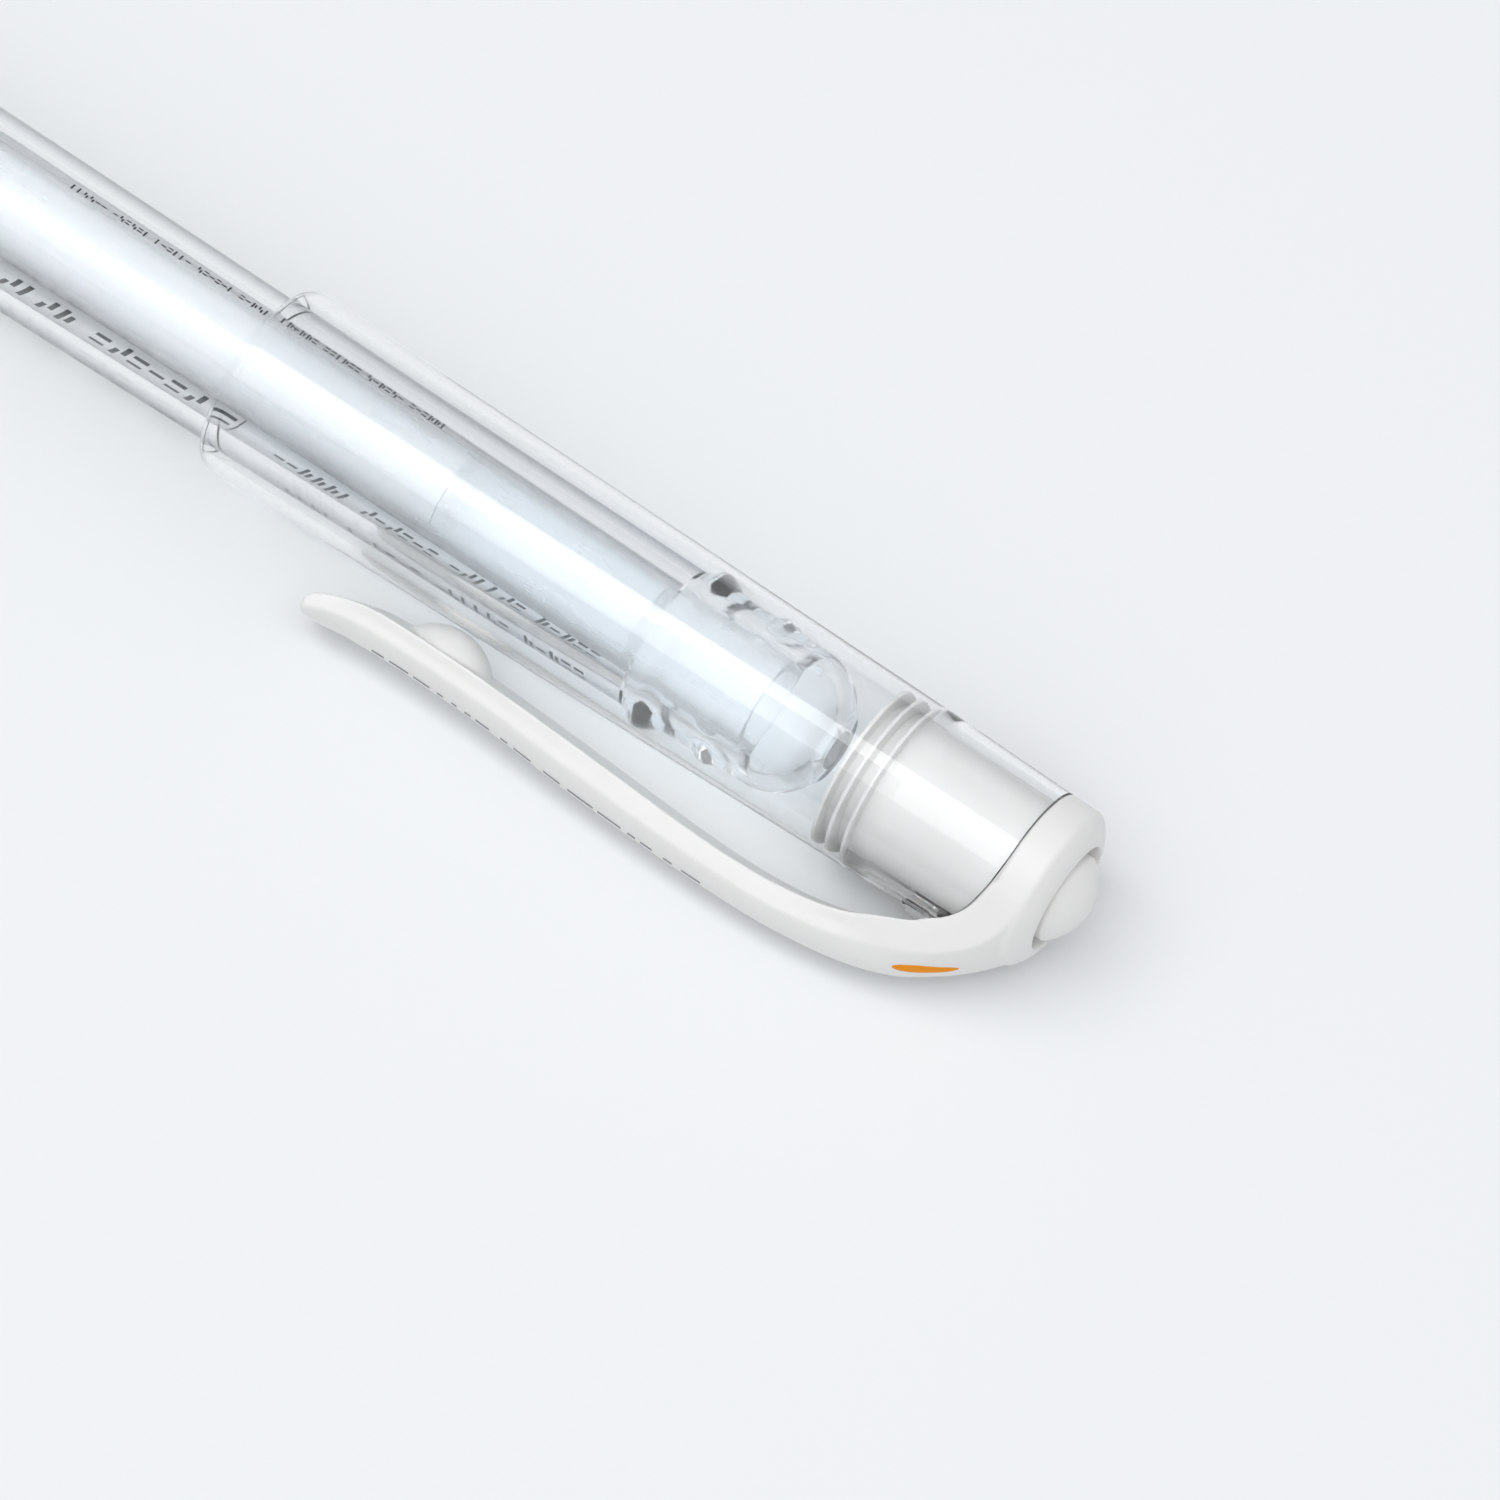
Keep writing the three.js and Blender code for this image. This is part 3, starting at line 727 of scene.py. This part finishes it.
def make_clip_and_crown():
    """Crown and clip are one white moulding, made by joining its solids and softening where they meet."""
    crown = lathe_bm([(CROWN_X, 0.0), (CROWN_X, CROWN_R), (53.1, 4.86), (53.35, 4.72), (53.75, 4.2),
                      (54.0, 3.7), (CROWN_END, HOLE_R), (CROWN_END, 0.0)], VERY_FINE)
    parts = [finish_mesh("part", bm) for bm in (clip_bar_bm(), clip_bump_bm(), crown)]
    bm = bmesh.new()
    for part in parts:
        bm.from_mesh(part.data)
        bpy.data.objects.remove(part)
    moulding = finish_mesh("clip_moulding", bm)
    remesh = moulding.modifiers.new("join", "REMESH")
    remesh.mode = "VOXEL"
    remesh.voxel_size = 0.12 * MM
    remesh.use_smooth_shade = True
    soften = moulding.modifiers.new("soften", "SMOOTH")
    soften.factor = 0.5
    soften.iterations = 4
    apply_modifiers(moulding)
    hole_start, sleeve_r, hole_end = 46.0, 4.2, 54.6
    hole = lathe("hole", [
        (hole_start, 0.0), (hole_start, sleeve_r), (CROWN_X, sleeve_r), (CROWN_X, HOLE_R),
        (CROWN_END - 0.15, HOLE_R), (CROWN_END + 0.05, HOLE_R + 0.16), (hole_end, HOLE_R + 0.9),
        (hole_end, 0.0)], fillet=0, segments=VERY_FINE)
    add_boolean(moulding, hole, "DIFFERENCE")
    reshade(moulding, sharp_angle=50.0)
    moulding.data.materials.clear()
    moulding.data.materials.append(WHITE_MOULDING)
    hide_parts("cap_crown", "clip_arm")
    bend_with_clip(moulding)
    return moulding


def bend_with_clip(piece):
    """Bakes the piece's placement into its mesh."""
    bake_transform(piece)


# ---- Generic printed marks ----
PRINT_THICKNESS = 0.02
PRINT_DEPTH = 0.05          # how far a mark lies under the barrel's outer surface


def sunk_mark(bm, corners):
    """One printed stroke just under the barrel's outer surface; corners are (x, angle) pairs."""
    low, high = [], []
    for x, angle in corners:
        r = barrel_radius(x) - PRINT_DEPTH
        low.append(bm.verts.new(place(x, r, angle)))
        high.append(bm.verts.new(place(x, r + PRINT_THICKNESS, angle)))
    bm.faces.new(low)
    bm.faces.new(list(reversed(high)))
    count = len(corners)
    for k in range(count):
        j = (k + 1) % count
        bm.faces.new((low[k], low[j], high[j], high[k]))


# Plain ticks and dashes in a unit cell, each as (along, up, width, height)
TICKS = [
    [(0.1, 0.0, 0.26, 1.0)],
    [(0.1, 0.0, 0.26, 1.0), (0.5, 0.2, 0.26, 0.6)],
    [(0.0, 0.4, 0.75, 0.2)],
    [(0.0, 0.1, 0.75, 0.2), (0.0, 0.65, 0.75, 0.2)],
    [(0.1, 0.0, 0.26, 0.6), (0.5, 0.4, 0.26, 0.6)],
]
GROUP_SIZE, GROUP_GAP = 6, 0.9      # cells in a group, and the gap after it in cells
# Rows on the barrel: angle about the axis in degrees, first and last place along, height, pitch
PRINT_ROWS = [(219, -19.0, -1.0, 2.2, 1.3), (209, 3.0, 24.5, 2.0, 0.85), (64, -14.0, 12.0, 0.42, 0.42)]


def printed_row(bm, degrees, first, last, height, pitch):
    """A row of plain ticks and dashes along the barrel, in groups with gaps."""
    x = first
    count = 0
    while x < last:
        radius = barrel_radius(x)
        for along, up, width, rise in random.choice(TICKS):
            x0, x1 = x + along * pitch, x + (along + width) * pitch
            low = math.radians(degrees) + up * height / radius
            high = low + rise * height / radius
            sunk_mark(bm, [(x0, low), (x1, low), (x1, high), (x0, high)])
        count += 1
        x += pitch * (1 + (GROUP_GAP if count % GROUP_SIZE == 0 else 0))


def make_barrel_print():
    """Rows of plain ticks along the barrel, where the real pen carries small print."""
    bm = bmesh.new()
    for row in PRINT_ROWS:
        printed_row(bm, *row)
    dress(finish_mesh("barrel_print", bm), GREY_PRINT, "barrel", "clear_plastic")


def surface_mark(bm, tree, centre, outline, rings=6):
    """A printed patch on the clip, whose (along, across) outline is dropped on from outside."""
    inward = (clip_point(0, 0, 0) - clip_point(0, 1, 0)).normalized()
    outside = 16

    def dropped(x, across, lift):
        spot, normal, _, _ = tree.ray_cast(clip_point(x, outside, across), inward)
        return bm.verts.new(spot + normal * lift * MM)

    layers = []
    for lift in (-PRINT_THICKNESS, PRINT_THICKNESS):
        layer = []
        for k in range(rings, 0, -1):
            spots = [Vector(centre).lerp(Vector(spot), k / rings) for spot in outline]
            layer.append([dropped(x, across, lift) for x, across in spots])
        layers.append((layer, dropped(*centre, lift)))
    count = len(outline)
    for layer, middle in layers:
        for outer, inner in zip(layer, layer[1:]):
            for k in range(count):
                j = (k + 1) % count
                bm.faces.new((outer[k], outer[j], inner[j], inner[k]))
        for k in range(count):
            bm.faces.new((layer[-1][k], layer[-1][(k + 1) % count], middle))
    (low, _), (high, _) = layers
    for k in range(count):
        j = (k + 1) % count
        bm.faces.new((low[0][k], high[0][k], high[0][j], low[0][j]))


# Plain orange oval on the clip's bend
BADGE_X, BADGE_ACROSS = 49.8, -1.4
BADGE_HALF_LENGTH, BADGE_HALF_WIDTH = 1.6, 0.34
BADGE_POINTS = 32
# Grey dashes along the clip: the row's ends, its place across, and the range of a dash's length and gap
DASHES_START, DASHES_END = 14.0, 36.0
DASH_LOW, DASH_HIGH = -0.98, -0.78
DASH_LENGTH, DASH_GAP = (0.3, 1.8), (0.3, 0.9)


def make_clip_badge(tree):
    """A plain orange oval, where the real pen has a printed badge."""
    bm = bmesh.new()
    angles = [2 * math.pi * k / BADGE_POINTS for k in range(BADGE_POINTS)]
    outline = [(BADGE_X + BADGE_HALF_LENGTH * math.cos(a), BADGE_ACROSS + BADGE_HALF_WIDTH * math.sin(a))
               for a in angles]
    surface_mark(bm, tree, (BADGE_X, BADGE_ACROSS), outline)
    badge = finish_mesh("clip_badge", bm)
    badge.data.materials.append(ORANGE_PRINT)
    bend_with_clip(badge)


def make_clip_print(tree):
    """Short grey dashes of uneven length along the clip's flank."""
    bm = bmesh.new()
    x = DASHES_START
    while x < DASHES_END:
        end = x + random.uniform(*DASH_LENGTH)
        surface_mark(bm, tree, ((x + end) / 2, (DASH_LOW + DASH_HIGH) / 2),
                     [(x, DASH_LOW), (end, DASH_LOW), (end, DASH_HIGH), (x, DASH_HIGH)], rings=2)
        x = end + random.uniform(*DASH_GAP)
    dress(finish_mesh("clip_print", bm), CLIP_PRINT, "clip", "white_plastic")


def make_clip_marks(moulding):
    mesh = moulding.data
    surface = BVHTree.FromPolygons([v.co.copy() for v in mesh.vertices],
                                   [list(p.vertices) for p in mesh.polygons])
    make_clip_badge(surface)
    make_clip_print(surface)


# ---- Floor, lights, camera ----
def make_floor():
    bm = bmesh.new()
    bmesh.ops.create_grid(bm, x_segments=8, y_segments=8, size=3.0)
    floor = finish_mesh("floor", bm)
    mat, tree, shader, _ = new_material("pale_floor")
    paint = tinted(tree, grain(tree, 0.002, 2.0), (0.848, 0.861, 0.872), (0.862, 0.874, 0.883))
    tree.links.new(paint, shader.inputs["Base Color"])
    set_inputs(shader, {"Roughness": 0.75, "Specular IOR Level": 0.2})
    floor.data.materials.append(mat)


def area_light(name, spot, target, size, energy):
    data = bpy.data.lights.new(name, "AREA")
    data.shape = "RECTANGLE"
    data.size, data.size_y = size
    data.energy = energy
    lamp = bpy.data.objects.new(name, data)
    lamp.location = spot
    lamp.rotation_euler = (Vector(target) - Vector(spot)).to_track_quat("-Z", "Y").to_euler()
    bpy.context.scene.collection.objects.link(lamp)


# Long soft lamps above the pen: name, angle about the pen in degrees, width in metres, power in watts
LAMPS = [("overhead", 90, 0.2, 1.75), ("viewer_side", 111, 0.34, 1.05)]
LAMP_HEIGHT, LAMP_LENGTH, LAMP_X = 0.7, 1.0, 0.03


def make_light():
    """A room that is brightest above and darker behind the pen, and the lamps."""
    world = bpy.data.worlds.new("studio")
    world.use_nodes = True
    tree = world.node_tree
    background = tree.nodes["Background"]
    background.inputs["Color"].default_value = (0.95, 0.965, 0.985, 1)
    coordinates = node(tree, "ShaderNodeTexCoord")
    split = node(tree, "ShaderNodeSeparateXYZ")
    tree.links.new(coordinates.outputs["Generated"], split.inputs["Vector"])
    upward = remapped(tree, split.outputs["Z"], 0.05, 0.7, 0.25, 0.8, interpolation_type="SMOOTHSTEP")
    backward = remapped(tree, split.outputs["Y"], -1.0, 1.0, 1.05, 0.7)
    strength = node(tree, "ShaderNodeMath", operation="MULTIPLY")
    tree.links.new(upward, strength.inputs[0])
    tree.links.new(backward, strength.inputs[1])
    tree.links.new(strength.outputs["Value"], background.inputs["Strength"])
    bpy.context.scene.world = world
    for name, degrees, width, energy in LAMPS:
        angle = math.radians(degrees)
        spot = (LAMP_X, LAMP_HEIGHT * math.cos(angle), LAMP_HEIGHT * math.sin(angle))
        area_light(name, spot, (LAMP_X, 0, 0), (LAMP_LENGTH, width), energy)


def make_camera():
    """A long lens that looks steeply down at the cap's end, with the pen slanting across the picture."""
    azimuth, elevation, slant = math.radians(35.3), math.radians(66.1), math.radians(32.94)
    distance = 0.5
    aim_along, aim_below = 34.9, 2.55       # millimetres along the pen, and below its axis in the picture
    right = Vector((math.cos(azimuth), math.sin(azimuth), 0))
    away = Vector((math.sin(azimuth) * math.cos(elevation), -math.cos(azimuth) * math.cos(elevation),
                   math.sin(elevation)))
    up = away.cross(right)
    below = -math.sin(slant) * right - math.cos(slant) * up
    target = place(aim_along) + below * aim_below * MM
    data = bpy.data.cameras.new("camera")
    data.lens = 221.0
    data.sensor_width = 36.0
    data.clip_start = 0.01
    camera = bpy.data.objects.new("camera", data)
    camera.location = target + away * distance
    camera.rotation_euler = (-away).to_track_quat("-Z", "Y").to_euler()
    bpy.context.scene.collection.objects.link(camera)
    bpy.context.scene.camera = camera


make_camera()
make_barrel()
make_grip()
make_nose()
make_refill()
make_point()
make_cap_shell()
make_inner_cap()
make_tip_seal()
make_crown_plug()
make_clip_marks(make_clip_and_crown())
make_barrel_print()
make_floor()
make_light()

# Enough bounces for light to cross the nested clear walls
scene = bpy.context.scene
scene.view_settings.view_transform = "Standard"
scene.cycles.max_bounces = 24
scene.cycles.transmission_bounces = 20
scene.cycles.transparent_max_bounces = 24
scene.cycles.glossy_bounces = 8
